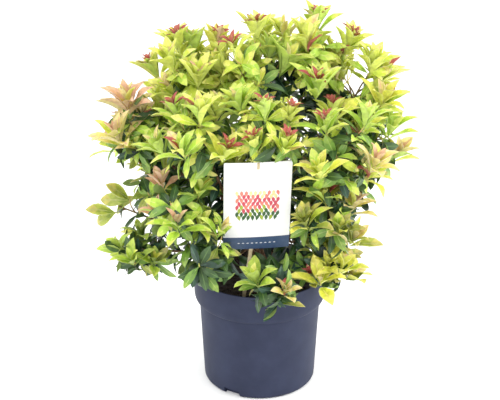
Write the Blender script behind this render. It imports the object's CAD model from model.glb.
# %% [markdown]
# # A potted Japanese pieris
# The object is an evergreen shrub in its nursery pot: a wide crown of young lime-green
# rosettes over dark older leaves, with a picture label on a stick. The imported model
# already holds every part at its real size, as plain faceted solids. This lesson dresses
# it: each step replaces some of those solids by the finished piece, in the same place.

# %% Load the frame
import math

import bmesh
import bpy
import numpy as np
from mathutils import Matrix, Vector, noise


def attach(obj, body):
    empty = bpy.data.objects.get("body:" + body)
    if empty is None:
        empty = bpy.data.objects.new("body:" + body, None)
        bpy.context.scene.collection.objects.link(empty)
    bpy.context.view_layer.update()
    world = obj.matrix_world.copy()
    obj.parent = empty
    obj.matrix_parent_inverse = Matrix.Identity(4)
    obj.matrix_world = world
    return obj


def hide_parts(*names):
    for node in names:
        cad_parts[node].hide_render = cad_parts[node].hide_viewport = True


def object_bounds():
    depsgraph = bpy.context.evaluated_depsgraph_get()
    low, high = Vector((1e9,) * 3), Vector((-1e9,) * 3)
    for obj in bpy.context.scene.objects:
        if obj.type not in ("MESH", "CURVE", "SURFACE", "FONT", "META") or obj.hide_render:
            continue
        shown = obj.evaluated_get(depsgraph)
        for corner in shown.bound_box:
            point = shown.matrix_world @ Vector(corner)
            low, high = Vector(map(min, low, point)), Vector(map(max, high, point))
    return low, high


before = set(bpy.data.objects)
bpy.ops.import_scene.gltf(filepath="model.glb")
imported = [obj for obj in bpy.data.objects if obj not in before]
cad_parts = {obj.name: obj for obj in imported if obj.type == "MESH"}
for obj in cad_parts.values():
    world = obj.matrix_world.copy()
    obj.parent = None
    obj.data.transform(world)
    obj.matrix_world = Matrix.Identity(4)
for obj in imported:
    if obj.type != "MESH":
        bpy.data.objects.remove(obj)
CAD_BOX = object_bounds()
print("solids:", len(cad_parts), "box:", [[round(v, 3) for v in corner] for corner in CAD_BOX])

# %% [markdown]
# ## Small tools
# Colours are picked as sRGB hex values, the way a paint chart gives them, but a shader
# wants linear light, so one function turns them. Node trees are long to write out, so
# one more function adds a node with its values and its links. Every finish here is built
# alike: a cloudy pattern of a real size wanders through a few near colours, and a bump may
# add the finest relief. So a third function makes a whole finish from those few numbers.

# %% Colour and node helpers
def linear(hex_colour):
    """A hex colour such as #4C5166 as linear red, green, blue and alpha."""
    parts = [int(hex_colour[i:i + 2], 16) / 255 for i in (1, 3, 5)]
    return (*[p / 12.92 if p <= 0.04045 else ((p + 0.055) / 1.055) ** 2.4 for p in parts], 1.0)


def add_node(tree, kind, values=None, links=None):
    """Add a shader node, set its input values, and link its inputs."""
    node = tree.nodes.new("ShaderNode" + kind)
    for name, value in (values or {}).items():
        node.inputs[name].default_value = value
    for name, source in (links or {}).items():
        tree.links.new(source, node.inputs[name])
    return node


def per_mm(size):
    """The texture scale that makes one pattern cell this many millimetres wide."""
    return 1000.0 / size


def finish(name, roughness, cell, stops, detail=2.0, cloud=0.5, stretch=None, bump=None,
           ior=1.45, specular=0.5, coat=0.0, coat_roughness=0.2):
    """A material whose colour wanders through (position, hex colour) stops.

    The pattern's cells are this many millimetres wide. A bump is given by its strength, its
    distance and, if it doesn't follow the colour, the width of its own cells.
    """
    material = bpy.data.materials.new(name)
    material.use_nodes = True
    tree = material.node_tree
    shader = tree.nodes["Principled BSDF"]
    for socket, value in (("Roughness", roughness), ("IOR", ior), ("Specular IOR Level", specular),
                          ("Coat Weight", coat), ("Coat Roughness", coat_roughness)):
        shader.inputs[socket].default_value = value
    where = add_node(tree, "TexCoord").outputs["Object"]
    if stretch:
        along = add_node(tree, "Mapping", values={"Scale": (1.0, 1.0, stretch)}, links={"Vector": where})
        where = along.outputs["Vector"]
    pattern = {"Scale": per_mm(cell), "Detail": detail, "Roughness": cloud}
    clouds = add_node(tree, "TexNoise", values=pattern, links={"Vector": where}).outputs["Fac"]
    colours = add_node(tree, "ValToRGB", links={"Fac": clouds})
    while len(colours.color_ramp.elements) < len(stops):
        colours.color_ramp.elements.new(0.5)
    for element, (position, colour) in zip(colours.color_ramp.elements, stops):
        element.position, element.color = position, linear(colour)
    tree.links.new(colours.outputs["Color"], shader.inputs["Base Color"])
    if bump:
        strength, distance, *own_cell = bump
        height = clouds
        if own_cell:
            pattern = {"Scale": per_mm(own_cell[0]), "Detail": 2.0}
            height = add_node(tree, "TexNoise", values=pattern, links={"Vector": where}).outputs["Fac"]
        relief = add_node(tree, "Bump", values={"Strength": strength, "Distance": distance},
                          links={"Height": height})
        tree.links.new(relief.outputs["Normal"], shader.inputs["Normal"])
    return material


print("helpers ready")

# %% Mesh helpers
def to_object(name, mesh, materials):
    """Link a mesh as an object that sits unturned at the origin."""
    item = bpy.data.objects.new(name, mesh)
    bpy.context.scene.collection.objects.link(item)
    for material in materials:
        mesh.materials.append(material)
    return item


def shade(mesh, degrees):
    """Shade a mesh smooth, with a hard edge where it bends by more than so many degrees."""
    mesh.shade_smooth()
    mesh.set_sharp_from_angle(angle=math.radians(degrees))


def from_bmesh(name, bm, materials, smooth=None):
    """Finish a bmesh: merge doubles, turn its faces outwards, and shade it."""
    bmesh.ops.remove_doubles(bm, verts=bm.verts, dist=1e-6)
    bmesh.ops.recalc_face_normals(bm, faces=bm.faces)
    mesh = bpy.data.meshes.new(name)
    bm.to_mesh(mesh)
    bm.free()
    item = to_object(name, mesh, materials)
    if smooth:
        shade(mesh, smooth)
    return item


def spun(profile, steps):
    """A bmesh turned round the Z axis from a profile of (radius, height) points."""
    bm = bmesh.new()
    line = [bm.verts.new((radius, 0.0, height)) for radius, height in profile]
    edges = [bm.edges.new(pair) for pair in zip(line[:-1], line[1:])]
    bmesh.ops.spin(bm, geom=line + edges, cent=(0, 0, 0), axis=(0, 0, 1),
                   angle=2 * math.pi, steps=steps, use_merge=True)
    bmesh.ops.remove_doubles(bm, verts=bm.verts, dist=1e-6)
    return bm


def cut(target, tool):
    """Cut one solid out of another and drop the tool."""
    modifier = target.modifiers.new("cut", "BOOLEAN")
    modifier.operation = "DIFFERENCE"
    modifier.solver = "EXACT"
    modifier.object = tool
    graph = bpy.context.evaluated_depsgraph_get()
    mesh = bpy.data.meshes.new_from_object(target.evaluated_get(graph))
    target.modifiers.clear()
    target.data = mesh
    bpy.data.objects.remove(tool)


def place_on(piece, slot, *nodes):
    """Make a piece ride on the plant's one body and stand for its solids."""
    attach(piece, "root")
    if nodes:
        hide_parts(*nodes)
    count = sum(len(polygon.vertices) - 2 for polygon in piece.data.polygons)
    print(piece.name, count, "triangles, for", len(nodes), "solids")
    return piece


# %% [markdown]
# ## The camera
# The photo looks down on the plant by 22.5 degrees from a little over two metres. These
# values were found by fitting a camera to the rim, the seam and the foot of the pot,
# whose real sizes are known. The focal length is in pixels of the 500 pixel wide photo.

# %% Camera
PHOTO_WIDTH = 500
FOCAL_PIXELS = 1152
SENSOR_WIDTH = 36.0
CAMERA_DISTANCE = 2.2
CAMERA_PITCH = math.radians(22.5)
CAMERA_TARGET = Vector((-0.0190, 0.0, 0.375))

lens = bpy.data.cameras.new("photo_camera")
lens.sensor_width = SENSOR_WIDTH
lens.lens = FOCAL_PIXELS * SENSOR_WIDTH / PHOTO_WIDTH
lens.clip_end = 60.0
camera = bpy.data.objects.new("photo_camera", lens)
bpy.context.scene.collection.objects.link(camera)
back = Vector((0.0, -math.cos(CAMERA_PITCH), math.sin(CAMERA_PITCH)))
camera.location = CAMERA_TARGET + back * CAMERA_DISTANCE
camera.rotation_euler = (math.radians(90) - CAMERA_PITCH, 0.0, 0.0)
bpy.context.scene.camera = camera
print("camera at", [round(v, 3) for v in camera.location], "lens", round(lens.lens, 1), "mm")

# %% [markdown]
# ## The studio
# The photo is a cut-out on white, lit from all round. A white floor, a white sky and two
# large soft lamps give the same even light: the key lamp is high in front on the left,
# and leaves the gloss on the leathery older leaves. Plain colour management keeps the
# hex colours what they are.

# %% Studio
SKY_STRENGTH = 1.72
STUDIO_REACH = 15.0

bpy.context.scene.view_settings.view_transform = "Standard"
world = bpy.data.worlds.new("studio_sky")
bpy.context.scene.world = world
world.use_nodes = True
sky = world.node_tree.nodes["Background"]
sky.inputs["Color"].default_value = (1.0, 1.0, 1.0, 1.0)
sky.inputs["Strength"].default_value = SKY_STRENGTH

# Seamless studio paper: white and quite matt, so that the lamps leave no highlight on it
paper = finish("seamless_paper_white", 0.9, 40, [(0.3, "#F7F7F7"), (0.7, "#FBFBFB")])
bm = bmesh.new()
bmesh.ops.create_grid(bm, x_segments=1, y_segments=1, size=STUDIO_REACH)
floor = from_bmesh("studio_floor", bm, [paper])


def soft_lamp(name, place, target, size, power):
    """A square area lamp at a place, facing a target."""
    lamp = bpy.data.lights.new(name, "AREA")
    lamp.size = size
    lamp.energy = power
    item = bpy.data.objects.new(name, lamp)
    bpy.context.scene.collection.objects.link(item)
    item.location = place
    item.rotation_euler = (Vector(target) - Vector(place)).to_track_quat("-Z", "Y").to_euler()


soft_lamp("key_lamp", (-1.5, -2.2, 2.6), (0, 0, 0.45), size=1.4, power=26)
soft_lamp("fill_lamp", (2.3, -0.5, 0.9), (0, 0, 0.3), size=1.6, power=36)
print("studio ready")

# %% [markdown]
# ## The pot
# A nursery pot is moulded from recycled polypropylene: thin, matt and slate grey, with a
# deep collar that ends in a small ledge and a wall that tapers to a rounded foot. It could
# be a lathe-like Screw modifier, but a full spin of its profile gives the same shape with
# clean poles. The three drainage notches step the wall in, so two cuts are made: one for
# the space inside, which goes round the notches, and one for the notches themselves.

# %% Pot sizes and shape
# Outside radii and heights, in metres
RIM_RADIUS = 0.130
RIM_HEIGHT = 0.232
COLLAR_RADIUS = 0.1286
COLLAR_FOOT = 0.189
SEAM_RADIUS = 0.1185
SEAM_HEIGHT = 0.173
FOOT_RADIUS = 0.1105
FOOT_ROUND = 0.008
WALL = 0.0022
FLOOR = 0.003
NOTCH_WIDTH = 0.034
NOTCH_HEIGHT = 0.014
NOTCH_DEPTH = 0.013
NOTCH_DIRECTIONS = (-120, 0, 120)
NOTCH_ROUND = 0.003
POT_STEPS = 144
BEAD = 0.0013
BEAD_OUT = 0.0030
LEDGE_OUT = 0.0040
COLLAR_SWELL = 0.0061
LIP_ROUND = 0.0011
HARD_EDGE = 32


def arc(centre, radius, start, stop, steps):
    """Points of a circular arc in the profile plane, angles in degrees."""
    angles = np.radians(np.linspace(start, stop, steps + 1))
    return [(centre[0] + radius * math.cos(a), centre[1] + radius * math.sin(a)) for a in angles]


def pot_outside():
    """The outside from the foot to just under the rim, with the ledge at the seam."""
    lip = COLLAR_FOOT - SEAM_HEIGHT
    foot = arc((FOOT_RADIUS - FOOT_ROUND, FOOT_ROUND), FOOT_ROUND, -90, 0, 8)
    turn_in = [(SEAM_RADIUS + LEDGE_OUT + COLLAR_SWELL * math.sin(a), COLLAR_FOOT - lip * math.cos(a))
               for a in np.radians(np.linspace(0, 90, 8))]
    bead = arc((SEAM_RADIUS + BEAD_OUT, SEAM_HEIGHT + BEAD / 2), BEAD, -100, 30, 7)
    return foot + [(SEAM_RADIUS, SEAM_HEIGHT - 0.0012)] + bead + turn_in[1:]


def notch_box(name, direction, extra):
    """A box that fills one drainage notch, grown by extra on its inner sides."""
    angle = math.radians(direction)
    outward = Vector((math.cos(angle), math.sin(angle), 0.0))
    sideways = Vector((-math.sin(angle), math.cos(angle), 0.0))
    length = 2 * NOTCH_DEPTH + extra
    middle = outward * (FOOT_RADIUS + NOTCH_DEPTH - length / 2) + Vector((0, 0, extra / 2))
    bm = bmesh.new()
    bmesh.ops.create_cube(bm, size=1.0)
    for v in bm.verts:
        v.co = (middle + outward * v.co.x * length + sideways * v.co.y * (NOTCH_WIDTH + 2 * extra)
                + Vector((0, 0, v.co.z * (2 * NOTCH_HEIGHT + extra))))
    upright = [e for e in bm.edges if abs((e.verts[0].co - e.verts[1].co).normalized().dot(outward)) > 0.9]
    bmesh.ops.bevel(bm, geom=upright, offset=NOTCH_ROUND, affect="EDGES", segments=3, profile=0.5,
                    material=-1)
    return from_bmesh(name, bm, [])


inner = [(radius - WALL, max(height, FLOOR)) for radius, height in pot_outside()]
mouth = RIM_RADIUS - 2 * LIP_ROUND
space = [(0.0, FLOOR)] + inner + [(mouth, RIM_HEIGHT - LIP_ROUND)]
space += [(mouth, RIM_HEIGHT + 0.01), (0.0, RIM_HEIGHT + 0.01)]
outer = [(0.0, 0.0)] + pot_outside()
outer += arc((RIM_RADIUS - LIP_ROUND, RIM_HEIGHT - LIP_ROUND), LIP_ROUND, 0, 90, 5)
outer += [(0.0, RIM_HEIGHT)]
print("points in the pot's outline:", len(outer), "and of the space inside:", len(space))

# %% Pot material and mesh
# Polypropylene, moulded against a finely blasted steel mould: matt, with a faint cloudy
# mottle from the recycled pigment. The blasted grain is 0.3 mm and is drawn at 1.1 mm to show.
pot_plastic = finish("moulded_polypropylene_slate", 0.55, 55,
                     [(0.25, "#262B3E"), (0.5, "#2B3044"), (0.8, "#31374C")],
                     detail=4.0, cloud=0.6, bump=(0.22, 0.0004, 1.1), ior=1.49, specular=0.16)

pot = from_bmesh("nursery_pot", spun(outer, POT_STEPS), [pot_plastic])
hollow = from_bmesh("pot_hollow", spun(space, POT_STEPS), [pot_plastic])
for direction in NOTCH_DIRECTIONS:
    cut(hollow, notch_box("notch_step", direction, WALL))
cut(pot, hollow)
for direction in NOTCH_DIRECTIONS:
    cut(pot, notch_box("notch", direction, 0.0))
shade(pot.data, HARD_EDGE)
place_on(pot, "pot_plastic", "pot")

# %% [markdown]
# ## The soil
# Moist peat fills the pot to 20 mm under the rim. A flat disc would look poured, so the
# top is a spun disc whose points are lifted by noise, with loose crumbs scattered over it.
# Only the top layer is made, because the wall hides the rest.

# %% Soil
SOIL_HEIGHT = 0.212
SOIL_LAYER = 0.045
SOIL_RELIEF = 0.00192
SOIL_CLODS = 14
SOIL_PLAY = 0.0004
CRUMBS = 900
CRUMB_SIZES = (0.0010, 0.0034)
CRUMB_FLATTEN = 0.7
CRUMB_RELIEF = 0.45
CRUMB_SEED = 11

# Moist peat: dull, dark brown and crumbly, in clods of about 6 mm
peat = finish("moist_peat", 0.92, 6, [(0.3, "#17100C"), (0.55, "#2C1F17"), (0.78, "#4A3626")],
              detail=6.0, cloud=0.7, bump=(0.8, 0.0015))


def wall_inside(height):
    """The pot's inner radius at a height above its seam."""
    share = (height - COLLAR_FOOT) / (RIM_HEIGHT - COLLAR_FOOT)
    return COLLAR_RADIUS + (RIM_RADIUS - COLLAR_RADIUS) * share - WALL - SOIL_PLAY


edge = wall_inside(SOIL_HEIGHT)
seam_inside = SEAM_RADIUS - WALL - 0.0005
bed = [(0.0, SOIL_HEIGHT - SOIL_LAYER), (seam_inside, SOIL_HEIGHT - SOIL_LAYER)]
bed += [(seam_inside, SEAM_HEIGHT), (wall_inside(COLLAR_FOOT) - 0.001, COLLAR_FOOT + 0.001)]
bed += [(edge * share, SOIL_HEIGHT) for share in np.linspace(1.0, 0.0, 40)]
bm = spun(bed, 120)
for v in bm.verts:
    if v.co.z > SOIL_HEIGHT - 0.0001 and math.hypot(v.co.x, v.co.y) < edge - 0.001:
        v.co.z += SOIL_RELIEF * noise.fractal(v.co * per_mm(SOIL_CLODS), 0.9, 2.1, 4)
soil = from_bmesh("peat_bed", bm, [peat], smooth=60)
place_on(soil, "potting_soil", "soil")

chance = np.random.default_rng(CRUMB_SEED)
bm = bmesh.new()
for _ in range(CRUMBS):
    radius = (edge - 0.004) * math.sqrt(chance.random())
    turn = chance.uniform(0, 2 * math.pi)
    size = chance.uniform(*CRUMB_SIZES)
    made = bmesh.ops.create_icosphere(bm, subdivisions=1, radius=size)["verts"]
    shift = Vector((radius * math.cos(turn), radius * math.sin(turn), SOIL_HEIGHT + size * 0.3))
    for v in made:
        stretch = 1.0 + CRUMB_RELIEF * noise.noise(v.co * per_mm(2.5) + shift * 900)
        v.co = Vector((v.co.x, v.co.y, v.co.z * CRUMB_FLATTEN)) * stretch + shift
crumbs = from_bmesh("peat_crumbs", bm, [peat], smooth=80)
place_on(crumbs, "potting_soil")

# %% [markdown]
# ## Directions and curves
# The plant is grown by a rule, the same one that made its solids: a limb or a twig is a
# cubic curve between two places, and its shape follows from the directions at its ends.
# Everything that grows is worked out with these few functions on arrays of numbers.

# %% Vector functions
def unit(vector):
    """The vector's direction."""
    vector = np.asarray(vector, float)
    return vector / np.linalg.norm(vector)


def across(direction, hint):
    """The part of hint that stands square to a direction, as a unit vector."""
    return unit(hint - np.dot(hint, direction) * direction)


def leaning(axis, hint, turn, lean):
    """The direction that leans away from an axis, turned round it from the side of hint."""
    side = across(axis, np.array(hint))
    outward = math.cos(turn) * side + math.sin(turn) * np.cross(axis, side)
    return math.cos(lean) * axis + math.sin(lean) * outward


def curve(start, start_pull, end_pull, end, stations):
    """Points at equal steps along a cubic curve."""
    t = np.linspace(0.0, 1.0, stations)[:, None]
    return ((1 - t) ** 3 * start + 3 * (1 - t) ** 2 * t * start_pull
            + 3 * (1 - t) * t ** 2 * end_pull + t ** 3 * end)


def along_path(path, share):
    """The point and the direction at a share of a path."""
    place = share * (len(path) - 1)
    low = min(int(place), len(path) - 2)
    part = place - low
    return path[low] * (1 - part) + path[low + 1] * part, unit(path[low + 1] - path[low])


def path_length(path):
    """The length along a path."""
    return np.linalg.norm(np.diff(path, axis=0), axis=1).sum()


def tube(path, radii, sides, relief=None):
    """A closed tube along a path: a list of points and a list of faces."""
    steps = np.diff(path, axis=0)
    steps /= np.linalg.norm(steps, axis=1)[:, None]
    along = np.vstack([steps[:1], steps[:-1] + steps[1:], steps[-1:]])
    side = across(unit(along[0]), np.array([0.31, 0.83, 0.46]))
    verts = []
    for point, direction, radius in zip(path, along, radii):
        direction = unit(direction)
        side = across(direction, side)
        other = np.cross(direction, side)
        for corner in range(sides):
            angle = 2 * math.pi * corner / sides
            outward = math.cos(angle) * side + math.sin(angle) * other
            grown = radius * (relief(point, outward) if relief else 1.0)
            verts.append(point + grown * outward)
    faces = []
    for ring in range(len(path) - 1):
        low, high = ring * sides, (ring + 1) * sides
        for corner in range(sides):
            after = (corner + 1) % sides
            faces.append((low + corner, low + after, high + after, high + corner))
    top = (len(path) - 1) * sides
    faces.append(tuple(range(sides))[::-1])
    faces.append(tuple(range(top, top + sides)))
    return verts, faces


def join_shapes(name, shapes, materials):
    """Many (points, faces) shapes as one smooth object."""
    verts, faces = [], []
    for points, corners in shapes:
        base = len(verts)
        verts.extend(points)
        faces.extend([tuple(base + i for i in face) for face in corners])
    mesh = bpy.data.meshes.new(name)
    mesh.from_pydata([tuple(v) for v in verts], [], faces)
    shade(mesh, 70)
    return to_object(name, mesh, materials)


print("growing tools ready")

# %% [markdown]
# ## The plant's plan
# The crown is twenty-six masses of foliage. Each has a centre, a reach, a number of shoots
# and the direction in degrees of its first one, and is carried by one bough: seven main
# ones sit on the fork of the short trunk, and the others leave those. These are the plan
# values of the solids, in metres.

# %% Plan values
# Stations are (height, radius) pairs, and each radius pair is that at the foot and at the end
GAP = 0.0003
TRUNK_STATIONS = ((0.0, 0.0165), (0.006, 0.0125), (0.016, 0.0103), (0.027, 0.0098), (0.036, 0.0118))
TRUNK_LEAN = (0.004, 0.002)
FORK_RISE = 0.0085
FORK_TOP_RADIUS = 0.0048
FORK_SIDES = 6
MAIN_RADIUS = (0.0040, 0.0024)
SIDE_RADIUS = (0.0029, 0.0021)
BOUGH_STATIONS = 6
BOUGH_PULL = 0.34
CROWN_HEART = np.array([0.0, 0.0, 0.36])
HEADING_RISE = 0.45
STEM_LENGTH = 0.060
STEM_BELOW = 0.62
STEM_STATIONS = (0.0, 0.35, 0.7, 1.0)
TWIG_RADIUS = (0.0017, 0.0012)
TWIG_STATIONS = 3
TWIG_MARGIN = 0.0046
LIMB_CLEARANCE = 0.0012
GOLDEN = math.radians(137.508)

MASSES = {
    "leader": ((0.091, 0.005, 0.648), 0.070, 5, 0),
    "top_middle": ((-0.014, -0.040, 0.635), 0.074, 5, 60),
    "top_left": ((-0.121, -0.010, 0.613), 0.070, 6, 90),
    "top_back": ((-0.006, 0.115, 0.598), 0.076, 5, 330),
    "top_right": ((0.176, 0.000, 0.585), 0.072, 5, 105),
    "upper_left": ((-0.215, -0.030, 0.520), 0.066, 5, 315),
    "upper_front_left": ((-0.104, -0.140, 0.538), 0.068, 6, 300),
    "upper_front": ((0.012, -0.150, 0.566), 0.065, 5, 165),
    "upper_front_right": ((0.134, -0.132, 0.514), 0.078, 5, 300),
    "upper_right": ((0.188, -0.020, 0.487), 0.065, 5, 150),
    "upper_back_left": ((-0.125, 0.135, 0.530), 0.078, 5, 300),
    "upper_back_right": ((0.130, 0.132, 0.525), 0.078, 5, 150),
    "left": ((-0.178, -0.010, 0.403), 0.062, 5, 345),
    "front_left": ((-0.136, -0.130, 0.404), 0.068, 5, 285),
    "front": ((0.002, -0.060, 0.439), 0.063, 4, 15),
    "front_right": ((0.119, -0.128, 0.395), 0.061, 5, 285),
    "right": ((0.143, 0.050, 0.387), 0.066, 4, 255),
    "back_left": ((-0.130, 0.150, 0.390), 0.078, 5, 195),
    "back": ((0.010, 0.180, 0.440), 0.078, 5, 30),
    "back_right": ((0.112, 0.160, 0.370), 0.074, 5, 0),
    "low_left": ((-0.212, -0.055, 0.296), 0.052, 4, 120),
    "low_front_left": ((-0.098, -0.148, 0.322), 0.055, 4, 270),
    "low_front": ((0.023, -0.168, 0.280), 0.040, 3, 300),
    "low_right": ((0.117, -0.088, 0.288), 0.058, 4, 105),
    "low_back": ((-0.010, 0.155, 0.300), 0.070, 4, 285),
    "stray_left": ((-0.247, -0.020, 0.362), 0.026, 2, 200),
}
MAIN_BOUGHS = {
    "leader": "top",
    "top_right": 0,
    "upper_back_right": 60,
    "upper_back_left": 120,
    "top_left": 180,
    "upper_front_left": 240,
    "upper_front_right": 300,
}
SIDE_BOUGHS = {
    "top_middle": ("leader", 0.62),
    "top_back": ("leader", 0.45),
    "upper_left": ("top_left", 0.52),
    "upper_front": ("upper_front_right", 0.56),
    "upper_right": ("top_right", 0.52),
    "left": ("top_left", 0.34),
    "front_left": ("upper_front_left", 0.42),
    "front": ("leader", 0.26),
    "front_right": ("upper_front_right", 0.34),
    "right": ("top_right", 0.32),
    "back_left": ("upper_back_left", 0.40),
    "back": ("upper_back_right", 0.46),
    "back_right": ("upper_back_right", 0.28),
    "low_left": ("top_left", 0.18),
    "low_front_left": ("upper_front_left", 0.22),
    "low_front": ("upper_front_right", 0.16),
    "low_right": ("top_right", 0.16),
    "low_back": ("upper_back_left", 0.20),
    "stray_left": ("left", 0.36),
}
print(len(MASSES), "masses")

# %% [markdown]
# ## The label's place
# The stick leans forward out of the soil, and the card stands in front of it, turned a
# little to the right. Both frames are worked out before the twigs grow, because no twig
# or leaf may pierce the card.

# %% Label frames
STICK_FOOT = np.array([-0.031, -0.090, 0.212])
STICK_LEAN_FORWARD = 10.0
STICK_LEAN_RIGHT = 7.0
STICK_WIDTH = 0.0070
STICK_THICK = 0.0016
STICK_LENGTH = 0.305
STICK_DEPTH = 0.040
CARD_WIDTH = 0.1215
CARD_HEIGHT = 0.185
CARD_THICK = 0.0008
CARD_CENTRE_RISE = 0.208
CARD_YAW = 7.5
CARD_ROLL = 1.2


def stick_axes():
    """The stick's own axes as columns: across it, away from the front, and up along it."""
    right, forward, yaw = map(math.radians, (STICK_LEAN_RIGHT, STICK_LEAN_FORWARD, CARD_YAW))
    up = unit((math.tan(right), -math.tan(forward), 1.0))
    face = across(up, np.array([math.sin(yaw), -math.cos(yaw), 0.0]))
    return np.column_stack([-np.cross(face, up), -face, up])


def card_axes():
    """The card's own axes, turned in its plane so that it hangs nearly upright."""
    stick = stick_axes()
    turn = math.radians(STICK_LEAN_RIGHT - CARD_ROLL)
    right = stick[:, 0] * math.cos(turn) + stick[:, 2] * math.sin(turn)
    up = stick[:, 2] * math.cos(turn) - stick[:, 0] * math.sin(turn)
    return np.column_stack([right, stick[:, 1], up])


STICK_AXES = stick_axes()
CARD_AXES = card_axes()
CARD_CENTRE = (STICK_FOOT + STICK_AXES[:, 2] * CARD_CENTRE_RISE
               - STICK_AXES[:, 1] * (STICK_THICK / 2 + GAP + CARD_THICK / 2))
print("card centre", CARD_CENTRE.round(3))

# %% [markdown]
# ## Growing the limbs
# The trunk stands on the soil with a flared foot and forks at once, as pruned nursery
# shrubs do. Each bough is one curve from its seat to the place where its mass begins.

# %% Limb paths
def trunk_axis(height):
    """The middle of the leaning trunk at a height above the soil."""
    share = height / TRUNK_STATIONS[-1][0]
    return np.array([TRUNK_LEAN[0] * share, TRUNK_LEAN[1] * share, SOIL_HEIGHT + GAP + height])


def fork_seat(facet):
    """Where a main bough sits on the fork, and the direction square to that facet."""
    swell = TRUNK_STATIONS[-1]
    fork = trunk_axis(swell[0] + FORK_RISE)
    if facet == "top":
        return fork + np.array([0.0, 0.0, GAP]), np.array([0.0, 0.0, 1.0])
    flat = math.cos(math.pi / FORK_SIDES)
    angle = math.radians(facet)
    outward = np.array([math.cos(angle), math.sin(angle), 0.0])
    low = trunk_axis(swell[0]) + outward * swell[1] * flat
    high = fork + outward * FORK_TOP_RADIUS * flat
    square = across(unit(high - low), outward)
    return (low + high) / 2 + square * GAP, square


def stem_heading(name):
    """The direction in which a mass grows on from its bough."""
    away = unit(np.array(MASSES[name][0]) - CROWN_HEART)
    return unit(away + np.array([0.0, 0.0, HEADING_RISE]))


def stem_foot(name):
    """The point where a mass's stem starts."""
    return np.array(MASSES[name][0]) - stem_heading(name) * STEM_LENGTH * STEM_BELOW


def limb_pulls(name, start, first):
    """The four control points of a bough's curve."""
    last = stem_heading(name)
    end = stem_foot(name) - last * GAP
    pull = np.linalg.norm(end - start) * BOUGH_PULL
    return start, start + first * pull, end - last * pull, end


limb_controls, limb_paths, limb_radii = {}, {}, {}


def grow_limb(name, start, first, radii):
    """Keep a bough's control points, its path and its radii."""
    limb_controls[name] = limb_pulls(name, start, first)
    limb_paths[name] = curve(*limb_controls[name], BOUGH_STATIONS)
    limb_radii[name] = np.linspace(*radii, BOUGH_STATIONS)


for name, facet in MAIN_BOUGHS.items():
    grow_limb(name, *fork_seat(facet), MAIN_RADIUS)
for name, (parent, share) in SIDE_BOUGHS.items():
    point, direction = along_path(limb_paths[parent], share)
    radius = np.interp(share, np.linspace(0, 1, BOUGH_STATIONS), limb_radii[parent])
    first = across(direction, stem_foot(name) - point)
    grow_limb(name, point + first * (radius + GAP), first, SIDE_RADIUS)
print(len(limb_paths), "boughs")

# %% [markdown]
# ## Bark
# Pieris bark is grey-brown and shallowly furrowed along the limb. The relief is real
# geometry: noise that is stretched along the limb pushes each ring in and out, and a
# finer bump adds the fibres. Boughs start a little inside their parent, so no seam shows.

# %% Bark material and limbs
# Bark is dull, and its fibres, 2.2 mm apart, run up the limb
bark = finish("pieris_bark", 0.85, 2.2, [(0.3, "#4A3526"), (0.5, "#7A5C42"), (0.75, "#A08565")],
              detail=5.0, cloud=0.65, stretch=0.22, bump=(0.7, 0.0008))

FURROW_DEPTH = 0.16
FURROW_TURNS = 2.1
FURROW_LENGTH = 9
LIMB_SIDES = 10
LIMB_STEP = 0.006
LIMB_FOOT_FLARE = np.array([1.45, 1.25, 1.08])
TRUNK_SIDES = 20
TRUNK_RINGS = 26
TRUNK_SUNK = 0.004


def bark_relief(point, outward):
    """How far the bark stands out at a place on a limb, as a factor of its radius."""
    around = outward * FURROW_TURNS
    place = Vector((around[0], around[1], around[2] + point[2] * per_mm(FURROW_LENGTH)))
    return 1.0 + FURROW_DEPTH * (noise.noise(place) - 0.1)


fork_top = TRUNK_STATIONS[-1][0] + FORK_RISE
stations = np.linspace(-TRUNK_SUNK, fork_top, TRUNK_RINGS)
heights = [height for height, _ in TRUNK_STATIONS] + [fork_top]
widths = [radius for _, radius in TRUNK_STATIONS] + [FORK_TOP_RADIUS]
shapes = [tube(np.array([trunk_axis(height) for height in stations]), np.interp(stations, heights, widths),
               TRUNK_SIDES, bark_relief)]
for name, controls in limb_controls.items():
    count = max(8, int(path_length(limb_paths[name]) / LIMB_STEP))
    path = curve(*controls, count)
    path = np.vstack([path[0] + (path[0] - path[1]) * 0.5, path])
    radii = np.interp(np.linspace(0, 1, count + 1), np.linspace(0, 1, BOUGH_STATIONS), limb_radii[name])
    radii[:3] *= LIMB_FOOT_FLARE
    shapes.append(tube(path, radii, LIMB_SIDES, bark_relief))
limbs = join_shapes("bark_limbs", shapes, [bark])
place_on(limbs, "bark", "trunk", *["bough_" + name for name in MASSES])

# %% [markdown]
# ## Where a shoot may grow
# A twig has to keep off the boughs, the card, the stick and the pot. Each test takes a
# few points of the twig and says whether they are clear. A mass also keeps its main
# twigs on its own side of every neighbour, which is what gives the crown its tiers.

# %% Tests for twigs and leaves
CENTRES = {name: np.array(row[0]) for name, row in MASSES.items()}
SEGMENT_FEET = np.concatenate([path[:-1] for path in limb_paths.values()])
SEGMENT_STEPS = np.concatenate([path[1:] - path[:-1] for path in limb_paths.values()])
SEGMENT_RADII = np.concatenate([radii[:-1] for radii in limb_radii.values()])
OVER_RIM = 0.002
OUTSIDE_RIM = 0.0025
CARD_ROOM = 0.012
BEHIND_CARD = 0.0018
BEFORE_CARD = 0.0015
BESIDE_STICK = 0.003
BUD_LENGTH = 0.15
# Open places in the crown, and hollows where only older, darker leaves are in view between the
# young rosettes: right of and above the camera's target, and half their width
SKY_GAPS = ((0.193, 0.222, 0.013), (0.203, 0.212, 0.011), (-0.036, 0.274, 0.007), (0.027, 0.269, 0.004))
HOLLOWS = ((0.058, 0.226, 0.038), (0.110, 0.182, 0.032), (0.153, 0.195, 0.024), (0.112, 0.130, 0.024))


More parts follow.
